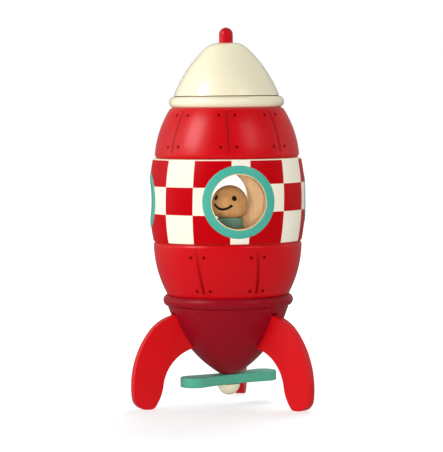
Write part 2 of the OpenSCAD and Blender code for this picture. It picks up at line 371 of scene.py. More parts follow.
class Nodes:
    """A node tree with short helpers for the nodes used here."""

    def __init__(self, tree):
        self.tree = tree

    def add(self, kind, **settings):
        node = self.tree.nodes.new(kind)
        for key, value in settings.items():
            setattr(node, key, value)
        return node

    def link(self, source, target):
        self.tree.links.new(source, target)

    def feed(self, socket, value):
        if isinstance(value, bpy.types.NodeSocket):
            self.link(value, socket)
        else:
            socket.default_value = value

    def math(self, operation, a, b=0.0):
        node = self.add("ShaderNodeMath", operation=operation)
        self.feed(node.inputs[0], a)
        self.feed(node.inputs[1], b)
        return node.outputs[0]

    def weighed(self, *parts):
        """The sum of (value, weight) pairs, each value times its weight."""
        total, *rest = [self.math("MULTIPLY", value, weight) for value, weight in parts]
        for term in rest:
            total = self.math("ADD", total, term)
        return total

    def mix(self, factor, a, b, blend="MIX"):
        node = self.add("ShaderNodeMix", data_type="RGBA", blend_type=blend)
        self.feed(node.inputs[0], factor)
        self.feed(node.inputs[6], a)
        self.feed(node.inputs[7], b)
        return node.outputs[2]

    def ramp(self, value, low, high, out_low=0.0, out_high=1.0):
        """A smooth rise from out_low to out_high as value goes from low to high."""
        node = self.add("ShaderNodeMapRange", interpolation_type="SMOOTHSTEP")
        self.feed(node.inputs["Value"], value)
        for key, number in (("From Min", low), ("From Max", high),
                            ("To Min", out_low), ("To Max", out_high)):
            self.feed(node.inputs[key], number)
        return node.outputs["Result"]


class Surface(Nodes):
    """A new material's nodes: its shader, and the place on the piece that noises go by."""

    def __init__(self, name):
        self.material = bpy.data.materials.new(name)
        self.material.use_nodes = True
        super().__init__(self.material.node_tree)
        self.tree.nodes.clear()
        output = self.add("ShaderNodeOutputMaterial")
        self.shader = self.add("ShaderNodeBsdfPrincipled")
        self.link(self.shader.outputs["BSDF"], output.inputs["Surface"])
        self.place = self.add("ShaderNodeTexCoord").outputs["Object"]

    def set(self, **values):
        """Sets inputs of the shader, each named with _ for a space, to values or sockets."""
        for key, value in values.items():
            self.feed(self.shader.inputs[key.replace("_", " ")], value)

    def stretched(self, scale):
        node = self.add("ShaderNodeMapping")
        self.link(self.place, node.inputs["Vector"])
        node.inputs["Scale"].default_value = scale
        return node.outputs["Vector"]

    def noise(self, vector, **settings):
        node = self.add("ShaderNodeTexNoise")
        self.link(vector, node.inputs["Vector"])
        for key, value in settings.items():
            node.inputs[key.capitalize()].default_value = value
        return node.outputs["Fac"]

    def attribute(self, name):
        return self.add("ShaderNodeAttribute", attribute_name=name).outputs["Fac"]

    def bump(self, height, strength, distance):
        node = self.add("ShaderNodeBump")
        node.inputs["Strength"].default_value = strength
        node.inputs["Distance"].default_value = distance
        self.link(height, node.inputs["Height"])
        self.set(Normal=node.outputs["Normal"])

    def axes(self):
        node = self.add("ShaderNodeSeparateXYZ")
        self.link(self.place, node.inputs[0])
        return node.outputs[0], node.outputs[1], node.outputs[2]

    def from_axis(self):
        """Distance from the vertical axis."""
        x, y, _ = self.axes()
        return self.math("SQRT", self.math("ADD", self.math("MULTIPLY", x, x),
                                           self.math("MULTIPLY", y, y)))


# Noises, with scales per metre, and the spans that one noise and the sum of two keep to.
STREAKS = dict(scale=1100, detail=2, roughness=0.5)
MOTTLE = dict(scale=45, detail=3, roughness=0.55)
PEEL = dict(scale=1500, detail=2, roughness=0.5)
WORN_FLECKS = dict(scale=700, detail=4, roughness=0.65)
WOOD_BANDS = dict(scale=240, detail=5, roughness=0.6, distortion=0.6)
FINE_GRAIN = dict(scale=1400, detail=4, roughness=0.65)
DARK_FLECKS = dict(scale=1500, detail=2, roughness=0.5)
BLOTCHES = dict(scale=90, detail=3, roughness=0.6)
TURNING_MARKS = dict(scale=5000, detail=2, roughness=0.5)
BLOOM = dict(scale=160, detail=4, roughness=0.6)
INK_SPECKS = dict(scale=2500, detail=3, roughness=0.6)
PAPER = dict(scale=3, detail=2, roughness=0.5)
SPAN = (0.3, 0.7)
SPAN_OF_TWO = (0.6, 1.4)

# How much the grain is drawn out along each axis.
NO_GRAIN = (1, 1, 1)
UPRIGHT_GRAIN = (1, 1, 0.06)
LEVEL_GRAIN = (0.1, 1, 1)
FIN_GRAIN = (1, 1, 0.12)
END_GRAIN = (0.08, 1, 1)
HEAD_GRAIN = (1, 1, 0.18)
FLECK_GRAIN = (1, 1, 0.22)

STREAK_SHADE = (0.975, 0.95, 0.95, 1)
PALE_STREAK_SHADE = (0.97, 0.96, 0.93, 1)
PAINT_ROUGHNESS = (0.28, 0.34)
BARE_ROUGHER, CUT_ROUGHER = 0.25, 0.5
BARE_EDGE = srgb(205, 165, 120)
EDGE_WEAR = 0.3


def paint_layers(n, colour, grain, cut_colour=None, streak=STREAK_SHADE, coat=0.1, gloss=0.36):
    """Satin paint over wood: faint streaks of grain, soft mottling, cuts and worn edges.

    Where the "cut" attribute says so, the paint takes the cut's colour and loses its gloss.
    That colour is seam and rivet paint on the planks and painted shade in the nose's groove.
    """
    streaks = n.noise(n.stretched(grain), **STREAKS)
    mottle = n.noise(n.place, **MOTTLE)
    peel = n.noise(n.place, **PEEL)
    tint = n.math("ADD", n.ramp(streaks, *SPAN, 0, 0.5), n.ramp(mottle, *SPAN, 0, 0.5))
    body = n.mix(tint, n.mix(1.0, colour, streak, "MULTIPLY"), colour)
    worn = n.math("MULTIPLY", n.attribute("wear"),
                  n.ramp(n.noise(n.place, **WORN_FLECKS), 0.6, 0.7))
    bare = n.math("MULTIPLY", worn, EDGE_WEAR)
    body = n.mix(bare, body, BARE_EDGE)
    rough = n.ramp(n.math("ADD", mottle, streaks), *SPAN_OF_TWO, *PAINT_ROUGHNESS)
    rough = n.math("ADD", rough, n.math("MULTIPLY", bare, BARE_ROUGHER))
    # In the nose's fine groove the cut colour is painted shade.
    if cut_colour is not None:
        cut = n.attribute("cut")
        body = n.mix(cut, body, cut_colour)
        rough = n.math("ADD", rough, n.math("MULTIPLY", cut, CUT_ROUGHER))
        uncut = n.math("SUBTRACT", 1.0, cut)
        coat, gloss = n.math("MULTIPLY", uncut, coat), n.math("MULTIPLY", uncut, gloss)
    n.set(Base_Color=body, Roughness=rough, Specular_IOR_Level=gloss, Coat_Weight=coat,
          Coat_Roughness=0.12)
    n.bump(n.weighed((streaks, 0.15), (peel, 0.85)), strength=0.06, distance=0.0001)


def paint(name, colour, grain=UPRIGHT_GRAIN, **layers):
    """A wood paint of one colour."""
    n = Surface(name)
    paint_layers(n, colour, grain, **layers)
    return n.material


# The chequer: degrees from its middle to the columns' edges, where the middle faces, its lean
# in degrees per metre, the heights between its rows, how far they step up on one half and down
# on the other, the cream band at the top, and half the width of the soft edges.
CHEQUER_COLUMNS = (7.1, 35.4, 60.5)
CHEQUER_TURN = 2.8
CHEQUER_LEAN = 0.03 / MM
CHEQUER_ROWS = (125.9, 143.4)
CHEQUER_STEP = 0.95
CREAM_RIM = 0.9
COLUMN_BLUR = 0.12
ROW_BLUR = 0.1


def chequer_paint(name, red, cream):
    """Red and cream squares, mirrored about the front and back windows.

    The columns lean a little, and the rows sit higher on the right half than on the left.
    """
    n = Surface(name)
    x, y, z = n.axes()
    turn = n.math("MULTIPLY", n.math("ARCTAN2", x, n.math("MULTIPLY", y, -1.0)),
                  180 / math.pi)
    lean = n.math("MULTIPLY", n.math("SUBTRACT", z, WINDOW_Z * MM), CHEQUER_LEAN)
    turn = n.math("ABSOLUTE", n.math("SUBTRACT", n.math("SUBTRACT", turn, lean), CHEQUER_TURN))
    turn = n.math("SUBTRACT", 90.0, n.math("ABSOLUTE", n.math("SUBTRACT", turn, 90.0)))
    count = 0.0
    for edge in CHEQUER_COLUMNS:
        count = n.math("ADD", count, n.ramp(turn, edge - COLUMN_BLUR, edge + COLUMN_BLUR))
    step = n.ramp(x, -MM, MM, -CHEQUER_STEP * MM, CHEQUER_STEP * MM)
    level = n.math("SUBTRACT", z, step)
    for edge in CHEQUER_ROWS:
        count = n.math("ADD", count,
                       n.ramp(level, (edge - ROW_BLUR) * MM, (edge + ROW_BLUR) * MM))
    odd = n.math("PINGPONG", count, 1.0)
    rim_z = WINDOW_Z1 - CREAM_RIM
    rim = n.ramp(z, rim_z * MM, (rim_z + 2 * ROW_BLUR) * MM)
    is_red = n.math("MULTIPLY", odd, n.math("SUBTRACT", 1.0, rim))
    paint_layers(n, n.mix(is_red, cream, red), UPRIGHT_GRAIN,
                 streak=n.mix(is_red, PALE_STREAK_SHADE, STREAK_SHADE), coat=0.02, gloss=0.07)
    return n.material


FLECK_SHADE = (0.55, 0.45, 0.38, 1)
WOOD_ROUGHNESS = (0.42, 0.6)


def bare_wood(name, pale, dark, grain=UPRIGHT_GRAIN):
    """Lacquered beech: long grain, soft bands and short dark flecks."""
    n = Surface(name)
    bands = n.noise(n.stretched((grain[0], grain[1], grain[2] * 0.6)), **WOOD_BANDS)
    fine = n.noise(n.stretched(grain), **FINE_GRAIN)
    flecks = n.noise(n.stretched(FLECK_GRAIN), **DARK_FLECKS)
    blotch = n.noise(n.place, **BLOTCHES)
    tone = n.weighed((bands, 0.55), (fine, 0.25), (blotch, 0.3))
    body = n.mix(n.ramp(tone, 0.4, 0.72), pale, dark)
    body = n.mix(n.math("MULTIPLY", n.ramp(flecks, 0.64, 0.72), 0.35), body,
                 n.mix(1.0, dark, FLECK_SHADE, "MULTIPLY"))
    n.set(Base_Color=body, Roughness=n.ramp(fine, *SPAN, *WOOD_ROUGHNESS), Coat_Weight=0.15,
          Coat_Roughness=0.3)
    n.bump(n.weighed((fine, 0.6), (bands, 0.4)), strength=0.35, distance=0.00015)
    return n.material


def plated_steel(name):
    """Nickel plate with turning marks and a dull bloom."""
    n = Surface(name)
    rings = n.add("ShaderNodeCombineXYZ")
    n.link(n.from_axis(), rings.inputs[0])
    marks = n.noise(rings.outputs[0], **TURNING_MARKS)
    bloom = n.noise(n.place, **BLOOM)
    n.set(Base_Color=n.mix(n.ramp(bloom, 0.35, 0.7), srgb(196, 197, 200), srgb(150, 150, 154)),
          Roughness=n.ramp(n.math("ADD", marks, bloom), *SPAN_OF_TWO, 0.2, 0.42),
          Metallic=1.0)
    n.bump(marks, strength=0.15, distance=0.00005)
    return n.material


def ink(name):
    """Matt black printed ink."""
    n = Surface(name)
    specks = n.noise(n.place, **INK_SPECKS)
    n.set(Base_Color=n.mix(specks, srgb(14, 11, 10), srgb(30, 25, 22)),
          Roughness=n.ramp(specks, *SPAN, 0.35, 0.55))
    n.bump(specks, strength=0.2, distance=0.00005)
    return n.material


RED_PAINT = paint("red_paint", srgb(198, 1, 14), cut_colour=srgb(130, 2, 4))
FIN_PAINT = paint("fin_paint", srgb(208, 8, 18), grain=FIN_GRAIN)
CHEQUER_PAINT = chequer_paint("chequer_paint", red=srgb(185, 1, 12), cream=srgb(240, 233, 215))
# The dark cut colour here is painted shade, used only in the nose's fine groove.
CREAM_PAINT = paint("cream_paint", srgb(238, 230, 200), streak=PALE_STREAK_SHADE, coat=1.0,
                    cut_colour=srgb(120, 96, 66))
DARK_RED_PAINT = paint("dark_red_paint", srgb(142, 12, 28), coat=0.02, gloss=0.16)
TEAL_PAINT = paint("teal_paint", srgb(74, 172, 153), grain=NO_GRAIN)
BLADE_PAINT = paint("blade_paint", srgb(84, 170, 142), grain=LEVEL_GRAIN)
PILOT_PAINT = paint("pilot_paint", srgb(106, 149, 130))
CABIN_WOOD = bare_wood("cabin_wood", srgb(250, 214, 164), srgb(234, 190, 138))
END_WOOD = bare_wood("end_wood", srgb(216, 176, 128), srgb(184, 138, 92), END_GRAIN)
HEAD_WOOD = bare_wood("head_wood", srgb(216, 171, 113), srgb(192, 137, 79), HEAD_GRAIN)
STEEL = plated_steel("nickel_plate")
INK = ink("face_ink")


def finish_piece(obj, body, slot, *materials, replaces=()):
    """Gives a piece its materials and ties it to its body and CAD nodes; slot is not used."""
    if materials:
        obj.data.materials.clear()
        for material in materials:
            obj.data.materials.append(material)
    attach(obj, body)
    if replaces:
        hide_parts(*replaces)


# ---------------- planked sections

# Each seam is (angle, lean): where its middle is, and how far it leans from foot to head.
UPPER_SEAMS = [(-54.5, 2.3)] + [(-6.0 + 45 * k, -1.5) for k in range(7)]
LOWER_SEAMS = [(a, -2.6) for a in (-30.0, 17.6, 96.0, 174.0, 252.0)]
SEAM_W = 2.0
SEAM_BLUR = 0.8
SEAM_DEPTH = 0.16
SEAM_END = 0.8
SEAM_END_BLUR = 1.2
RIVET_R = 1.1
RIVET_BLUR = 0.35
RIVET_DEPTH = 0.18

# Only what is further out than this is side; the rest is an end face or a magnet's pocket.
SIDE_R = 20


def seam_offset(a, seams, climb):
    """Signed degrees from a to the nearest seam, climb of the way up from its middle."""
    def turn_to(seam):
        return (a - seam[0] + 180) % 360 - 180

    seam = min(seams, key=lambda s: abs(turn_to(s)))
    return turn_to(seam) - seam[1] * climb


def smooth_step(x):
    """0 up to x = 0, 1 from x = 1, and a smooth rise between."""
    x = min(1.0, max(0.0, x))
    return x * x * (3 - 2 * x)


def plank_carver(seams, seam_z, seam_dark, rivet_rows, rivet_side):
    """Engraved seams between planks, with a pair of rivet dimples at both ends of each.

    seam_z and seam_dark give the height of a seam's foot and head, and how dark it is there.
    """
    (low, high), (dark_low, dark_high) = seam_z, seam_dark

    def carve(a, r, z):
        if r < SIDE_R:
            return 0.0, 0.0
        t = (z - low) / (high - low)
        off = math.radians(seam_offset(a, seams, t - 0.5)) * r
        ends = (smooth_step((z - low + SEAM_END) / SEAM_END_BLUR)
                * smooth_step((high + SEAM_END - z) / SEAM_END_BLUR))
        groove = smooth_step((SEAM_W / 2 + SEAM_BLUR - abs(off)) / (2 * SEAM_BLUR)) * ends
        depth, dark = SEAM_DEPTH * groove, (dark_low + (dark_high - dark_low) * t) * groove
        for row in rivet_rows:
            for side in (-1, 1):
                d = math.hypot(off - side * rivet_side, z - row)
                dimple = smooth_step((RIVET_R + RIVET_BLUR - d) / (2 * RIVET_BLUR))
                depth = max(depth, RIVET_DEPTH * dimple)
                dark = max(dark, dimple)
        return depth, dark
    return carve


PLANK_R = 44
FINE_STEP, COARSE_STEP, SEAM_REACH = 0.25, 1.6, 7.4


def plank_angles(seams):
    """Turning angles: fine steps across each seam and its rivets, coarser in between.

    The steps, and how far the fine ones reach to each side of a seam, are arcs at PLANK_R.
    """
    fine, coarse, reach = (v / PLANK_R for v in (FINE_STEP, COARSE_STEP, SEAM_REACH))
    angles = []
    middles = [seam[0] for seam in seams]
    for seam, following in zip(middles, middles[1:] + [middles[0] + 360]):
        start, gap = math.radians(seam), math.radians(following - seam) - 2 * reach
        steps = round(2 * reach / fine)
        angles += [start - reach + 2 * reach * i / steps for i in range(steps)]
        steps = round(gap / coarse)
        angles += [start + reach + gap * i / steps for i in range(steps)]
    return [math.degrees(a) for a in angles]


RIVET_BAND = 1.8
RIVET_STEP = 0.3


def refine(outline, row):
    """Adds points to the outline across a row of rivets, to shorten its steps there."""
    fine = [outline[0]]
    for p, q in zip(outline, outline[1:]):
        length = math.hypot(q[0] - p[0], q[1] - p[1])
        inside = (row - RIVET_BAND <= (p[1] + q[1]) / 2 <= row + RIVET_BAND
                  and min(p[0], q[0]) > SIDE_R)
        n = max(1, math.ceil(length / RIVET_STEP)) if inside else 1
        fine += [(p[0] + (q[0] - p[0]) * i / n, p[1] + (q[1] - p[1]) * i / n)
                 for i in range(1, n + 1)]
    return fine


def planked_section(name, belly, z0, z1, rims, seams, seam_z, seam_dark, rivet_rows,
                    rivet_side):
    """A turned section with magnet pockets in both ends and painted planks round its side."""
    side = section_side(belly, z0, z1, *rims, n=90)
    for row in rivet_rows:
        side = refine(side, row)
    outline = magnet_pocket(z0, up=False) + side + magnet_pocket(z1, up=True)
    carve = plank_carver(seams, seam_z, seam_dark, rivet_rows, rivet_side)
    return lathe(name, outline, plank_angles(seams), carve=carve)


upper = planked_section(
    "upper_planks", UPPER_BELLY, UPPER_Z0, UPPER_Z1, (SOFT_RIM, SHOULDER_RIM), UPPER_SEAMS,
    seam_z=(UPPER_Z0 + 4.4, UPPER_Z1 - 2.6), seam_dark=(0.6, 0.6),
    rivet_rows=(UPPER_Z0 + 7.7, UPPER_Z1 - 4.7), rivet_side=4.9)
finish_piece(upper, "upper", "red_paint", RED_PAINT, replaces=["upper_section"])

lower = planked_section(
    "lower_planks", LOWER_BELLY, LOWER_Z0, LOWER_Z1, (FOOT_RIM, SOFT_RIM), LOWER_SEAMS,
    seam_z=(LOWER_Z0 + 3.2, LOWER_Z1 - 4.6), seam_dark=(0.95, 0.45),
    rivet_rows=(LOWER_Z0 + 4.8, LOWER_Z1 - 8.4), rivet_side=4.5)
finish_piece(lower, "lower", "red_paint", RED_PAINT, replaces=["lower_section"])


# ---------------- nose

def nose():
    """Cream nose: bead, fine groove darkened with painted shade, bowed flank and round dome,
    bored for the tip.
    """
    bead_rise, bead_r = 3.5, 3.7
    bead_c = (33.4, NOSE_Z0 + bead_rise)
    bead_a = math.degrees(math.asin(bead_rise / bead_r))
    groove_r, groove_z = 33.5, NOSE_Z0 + 2 * bead_rise
    foot = (34.0, groove_z + 0.6)
    dome_r, dome_start = 14, 45.5
    dome_c = (4.5, NOSE_Z1 - dome_r)
    top, flank_sag = polar(dome_c, dome_r, dome_start), 1.9
    side_c, side_r = bow_circle(foot, top, flank_sag)
    flank = arc(side_c, side_r, angle_at(side_c, side_r, foot[1]),
                angle_at(side_c, side_r, top[1]), 30)
    outline = magnet_pocket(NOSE_Z0, up=False)
    outline += arc(bead_c, bead_r, -bead_a, bead_a, 28)
    outline += [(groove_r + 0.3, groove_z + 0.05), (groove_r, groove_z + 0.2),
                (groove_r, foot[1] - 0.1)]
    outline += flank + arc(dome_c, dome_r, dome_start + 2, 88, 26)
    outline += [(TIP_R + 0.25, NOSE_Z1), (TIP_R, NOSE_Z1 - 0.2), (TIP_R, TIP_Z0), (0, TIP_Z0)]

    # The fine groove takes the cream paint's dark cut colour: painted shade in the groove.
    def carve(a, r, z):
        return 0.0, 1.0 if groove_z < z < foot[1] and r < foot[0] else 0.0

    return lathe("nose_dome", outline, carve=carve)


def tip():
    """Red peg with a round top."""
    e = 0.4
    outline = [(0, TIP_Z0), (TIP_R - e, TIP_Z0), (TIP_R, TIP_Z0 + e)]
    return lathe("nose_peg", outline + arc((0, TIP_Z1 - TIP_R), TIP_R, 0, 90, 18), 96)


finish_piece(nose(), "nose", "cream_paint", CREAM_PAINT, replaces=["nose_cone"])
finish_piece(tip(), "nose", "red_paint", paint("tip_paint", srgb(184, 4, 14)),
             replaces=["nose_tip"])


# ---------------- window section

def barrel_radius(z, grow=0.0):
    """Radius of the window barrel's outside, grown by grow, at height z."""
    c, r = WINDOW_BELLY
    return c[0] + math.sqrt((r + grow) ** 2 - (z - c[1]) ** 2)


def window_frame(a, offset):
    """Frame of the window that faces a: x sideways, y up, z out from the barrel's axis."""
    return (Matrix.Rotation(math.radians(a), 4, "Z")
            @ Matrix.Translation((offset * MM, 0, WINDOW_Z * MM)) @ UPRIGHT)


def ring(name, a, offset, r_in, r_out):
    """A flat wooden ring with rounded edges, bent to the barrel and let into it."""
    e, edge_steps, crown, edge_wear = 0.55, 5, 0.12, 0.6
    foot = -RING_SEAT - RING_PROUD
    section = [(r_in, foot)] + arc((r_in + e, -e), e, 180, 90, edge_steps)
    section += [((r_in + r_out) / 2, crown)]
    section += arc((r_out - e, -e), e, 90, 0, edge_steps) + [(r_out, foot)]
    worn = [edge_wear] * (edge_steps + 1)
    wear = [0.0] + worn + [0.0] + worn + [0.0]
    steps = 144
    points, faces = [], []
    for i in range(steps):
        t = 2 * math.pi * i / steps
        for rho, lift in section:
            u, v = rho * math.cos(t), rho * math.sin(t)
            reach = barrel_radius(WINDOW_Z + v, RING_PROUD + lift)
            points.append((u, v, math.sqrt(reach ** 2 - (u + offset) ** 2)))
    m = len(section)
    for i in range(steps):
        j = (i + 1) % steps
        for k in range(m):
            q = (k + 1) % m
            faces.append((i * m + k, j * m + k, j * m + q, i * m + q))
    obj = mesh_object(name, points, faces, crease=50)
    set_attribute(obj, "wear", wear * steps)
    obj.data.transform(window_frame(a, offset))
    return obj


def bore(a, offset, r):
    """A round bar out through the window that faces a, to cut with."""
    obj = round_bar("bore", r, (20.0, BELLY_R + 6), 128)
    obj.data.transform(window_frame(a, offset))
    return obj


# Each ring's window: the way it faces, its offset from the axis, and the ring's radii.
WINDOWS = {
    "front_window_ring": (0, WINDOW_OFFSET, BIG_RING),
    "back_window_ring": (180, -WINDOW_OFFSET, BIG_RING),
    "left_window_ring": (-SIDE_WINDOW_TURN, 0, SMALL_RING),
    "right_window_ring": (SIDE_WINDOW_TURN, 0, SMALL_RING),
}


def by_a_window(x, y, z):
    """Whether a place on the barrel's outside lies inside a window ring or under it."""
    for a, offset, (r_in, r_out) in WINDOWS.values():
        s, c = sin_cos(a)
        from_middle = math.hypot(x * c + y * s - offset, z - WINDOW_Z)
        if x * s > y * c and from_middle < (r_in + r_out) / 2:
            return True
    return False


def barrel():
    """The hollow chequered barrel, bored for its windows; bare wood where it is cut.

    A face is painted if it looks outward and lies on the outside or on its rounded rims.
    """
    rim_depth, least_outward = 1.2, 0.3
    side = section_side(WINDOW_BELLY, WINDOW_Z0, WINDOW_Z1, FINE_RIM, FINE_RIM, n=56)
    outline = side + [(CABIN_R, WINDOW_Z1), (CABIN_R, WINDOW_Z0)]
    obj = lathe("window_barrel_wood", outline, 360, closed=True)
    cut_away(obj, [bore(a, offset, rings[0] - WOOD_LIP) for a, offset, rings in WINDOWS.values()])
    mesh = obj.data
    mesh.materials.append(CHEQUER_PAINT)
    mesh.materials.append(CABIN_WOOD)
    for face in mesh.polygons:
        x, y, z = (v / MM for v in face.center)
        r = math.hypot(x, y)
        outward = x * face.normal.x + y * face.normal.y
        outside = r > barrel_radius(z) - rim_depth and outward > least_outward * r
        face.material_index = 0 if outside and not by_a_window(x, y, z) else 1
    return obj


# The lip of wood shows inside the big rings; the small rings cover it.
for node, (a, offset, (r_in, r_out)) in WINDOWS.items():
    over_lip = WOOD_LIP + GAP if r_in == SMALL_RING[0] else 0.0
    piece = ring(node + "_wood", a, offset, r_in - over_lip, r_out)
    finish_piece(piece, "window", "teal_paint", TEAL_PAINT, replaces=[node])
finish_piece(barrel(), "window", "chequer_paint", replaces=["window_barrel"])


def cabin_disc(name, z0, z1, pocket_up):
    """A floor or ceiling board with its magnet pocket and softened edges."""
    e = 0.4
    edge = [(CABIN_R - e, z0), (CABIN_R, z0 + e), (CABIN_R, z1 - e), (CABIN_R - e, z1)]
    if pocket_up:
        outline = [(0, z0)] + edge + magnet_pocket(z1, up=True)
    else:
        outline = magnet_pocket(z0, up=False) + edge + [(0, z1)]
    return lathe(name, outline, 180)


for node, z0, z1, pocket_up in (("cabin_floor", FLOOR_Z0, FLOOR_Z1, False),
                                ("cabin_ceiling", CEILING_Z0, CEILING_Z1, True)):
    finish_piece(cabin_disc(node + "_board", z0, z1, pocket_up), "window", "bare_wood",
                 END_WOOD, replaces=[node])


# ---------------- pilot

# Heights of the centres of the head's ball and of its rounded jaw.
BALL_Z = HEAD_Z1 - HEAD_R
JAW_Z = HEAD_Z0 + JAW_R


def head_radius(z):
    """Radius of the pilot's head at height z."""
    if z > BALL_Z:
        return math.sqrt(max(0.0, HEAD_R ** 2 - (z - BALL_Z) ** 2))
    if z < JAW_Z:
        return HEAD_R - JAW_R + math.sqrt(max(0.0, JAW_R ** 2 - (JAW_Z - z) ** 2))
    return HEAD_R


def on_head(a, z, lift):
    """A point on the head at angle a from the front and height z, raised by lift."""
    r = head_radius(z)
    rise = math.atan2(max(0.0, z - BALL_Z), r)
    r += lift * math.cos(rise)
    s, c = sin_cos(a)
    return (WINDOW_OFFSET + r * s, -r * c, z + lift * math.sin(rise))


# The smile domes up by INK_LIFT from edges that lie INK_SINK in the wood, over its root.
INK_LIFT = 0.13
INK_SINK = 0.02
INK_ROOT = -0.3
INK_CREASE = 60


def ink_dot(name, a, z, r):
    """A round printed dot: a shallow dome that is closed behind, inside the wood.

    The profile gives rings of points, each as a share of the radius and a lift off the wood.
    """
    steps, top, root = 32, 0.14, -0.4
    profile = [(0.35, 0.13), (0.7, 0.11), (0.92, 0.06), (1.0, -0.02), (0.9, root)]
    points = [on_head(a, z, top)]
    for share, lift in profile:
        for i in range(steps):
            t = 2 * math.pi * i / steps
            du, dz = r * share * math.cos(t), r * share * math.sin(t)
            points.append(on_head(a + math.degrees(du / head_radius(z)), z + dz, lift))
    points.append(on_head(a, z, root))
    last = len(points) - 1
    faces = [(0, 1 + i, 1 + (i + 1) % steps) for i in range(steps)]
    for k in range(len(profile) - 1):
        b, c = 1 + k * steps, 1 + (k + 1) * steps
        faces += [(b + i, c + i, c + (i + 1) % steps, b + (i + 1) % steps) for i in range(steps)]
    b = 1 + (len(profile) - 1) * steps
    faces += [(b + i, last, b + (i + 1) % steps) for i in range(steps)]
    return mesh_object(name, points, faces, INK_CREASE)


# The smile: where its middle faces, half its width in degrees, the height of its ends, how
# far it dips and tilts, and its thickness. From SWELL_START of the way out to an end it swells,
# and from ROUND_START it rounds off.
SMILE_TURN = -32.4
SMILE_HALF = 34.0
SMILE_END_Z = 130.2
SMILE_DIP = 3.1
SMILE_TILT = 0.5
SMILE_W = 1.65
SWELL = 0.3
SWELL_START, SWELL_LENGTH = 0.86, 0.08
ROUND_START, ROUND_LENGTH = 0.94, 0.062


def smile_width(t):
    """Thickness of the smile at t, from 0 at its middle to 1 at an end."""
    if t < ROUND_START:
        return SMILE_W * (1 + SWELL * smooth_step((t - SWELL_START) / SWELL_LENGTH))
    past = (t - ROUND_START) / ROUND_LENGTH
    return SMILE_W * (1 + SWELL) * math.sqrt(max(0.02, 1 - past ** 2))


def smile():
    """A printed smile: a flat ribbon of ink along an arc, with round ends, a little askew."""
    steps, sides = 48, 10
    path = []
    for i in range(steps + 1):
        t = 2 * i / steps - 1
        dip = SMILE_DIP * (1 - t * t) + SMILE_TILT * t
        path.append((SMILE_TURN + SMILE_HALF * t, SMILE_END_Z - dip))
    points, faces = [], []
    for i, (a, z) in enumerate(path):
        width = smile_width(abs(2 * i / steps - 1))
        before, after = path[max(0, i - 1)], path[min(steps, i + 1)]
        du = math.radians(after[0] - before[0]) * HEAD_R
        dz = after[1] - before[1]
        length = math.hypot(du, dz)
        nu, nz = -dz / length, du / length
        for k in range(sides):
            s = 2 * math.pi * k / sides
            across = width / 2 * math.cos(s)
            lift = INK_LIFT * math.sin(s) - INK_SINK if k <= sides // 2 else INK_ROOT
            points.append(on_head(a + math.degrees(nu * across / HEAD_R), z + nz * across, lift))
    for i in range(steps):
        for k in range(sides):
            q = (k + 1) % sides
            faces.append((i * sides + k, i * sides + q, (i + 1) * sides + q, (i + 1) * sides + k))
    faces.append(tuple(range(sides))[::-1])
    faces.append(tuple(steps * sides + k for k in range(sides)))
    return mesh_object("pilot_smile", points, faces, INK_CREASE)


def pilot_head():
    """A turned ball head with a full jaw."""
    outline = [(0, HEAD_Z0)] + arc((HEAD_R - JAW_R, JAW_Z), JAW_R, -90, 0, 16)
    outline += arc((0, BALL_Z), HEAD_R, 0, 90, 32)
    return lathe("pilot_head_wood", outline, 128, (WINDOW_OFFSET, 0))


def pilot_body():
    """A painted peg body with a collar line, a little wider at the foot."""
    neck_r, foot_r, e = 8.4, 9.4, 0.5
    line_z, line_depth = HEAD_Z0 - 2.0, 0.3
    outline = [(0, FLOOR_Z1), (foot_r - e, FLOOR_Z1)]
    outline += arc((foot_r - e, FLOOR_Z1 + e), e, -80, 0, 5)
    outline += [(neck_r + 0.35, FLOOR_Z1 + 4.0), (neck_r, line_z - 0.1)]
    outline += [(neck_r - line_depth, line_z), (neck_r - line_depth, line_z + 0.25)]
    outline += [(neck_r, line_z + 0.35), (neck_r - 0.05, HEAD_Z0 - e)]
    outline += [(neck_r - e, HEAD_Z0), (0, HEAD_Z0)]
    return lathe("pilot_body_wood", outline, 128, (WINDOW_OFFSET, 0))


finish_piece(pilot_head(), "pilot", "bare_wood", HEAD_WOOD, replaces=["pilot_head"])
finish_piece(pilot_body(), "pilot", "pilot_paint", PILOT_PAINT, replaces=["pilot_body"])
EYE_Z = BALL_Z + 3.4
EYE_R = 1.75
for side, turn, rise in (("left", -35.6, 0.4), ("right", 33.6, 0.0)):
    finish_piece(ink_dot(f"pilot_{side}_eye", FACE_TURN + turn, EYE_Z + rise, EYE_R), "pilot",
                 "pilot_paint", INK)
finish_piece(smile(), "pilot", "pilot_paint", INK)


# ---------------- tail

# The fin's outline, from its crown round to its arch: centre, radius, angles and steps.
FIN_ARCS = {
    "crown": ((31.9, 31.9), 28.3, 90, 38.5, 24),
    "back": ((10.1, 14.5), 56.2, 38, -7, 30),
    "heel": ((57.5, 8.4), 8.4, -7.5, -90, 20),
    "toe": ((55, 4.2), 4.2, -90, -144, 10),
    "shin": ((76.1, 19.4), 30.2, 215, 188, 16),
    "arch": ((19.2, 11.4), 27.3, 7.5, 78, 28),
}
FIN_TOP_Z = 60.2
FIN_ROOT_Z = polar(*FIN_ARCS["arch"][:2], FIN_ARCS["arch"][3])[1]
SLOT_GAP = 1.2
SLOT_PLAY = 0.02


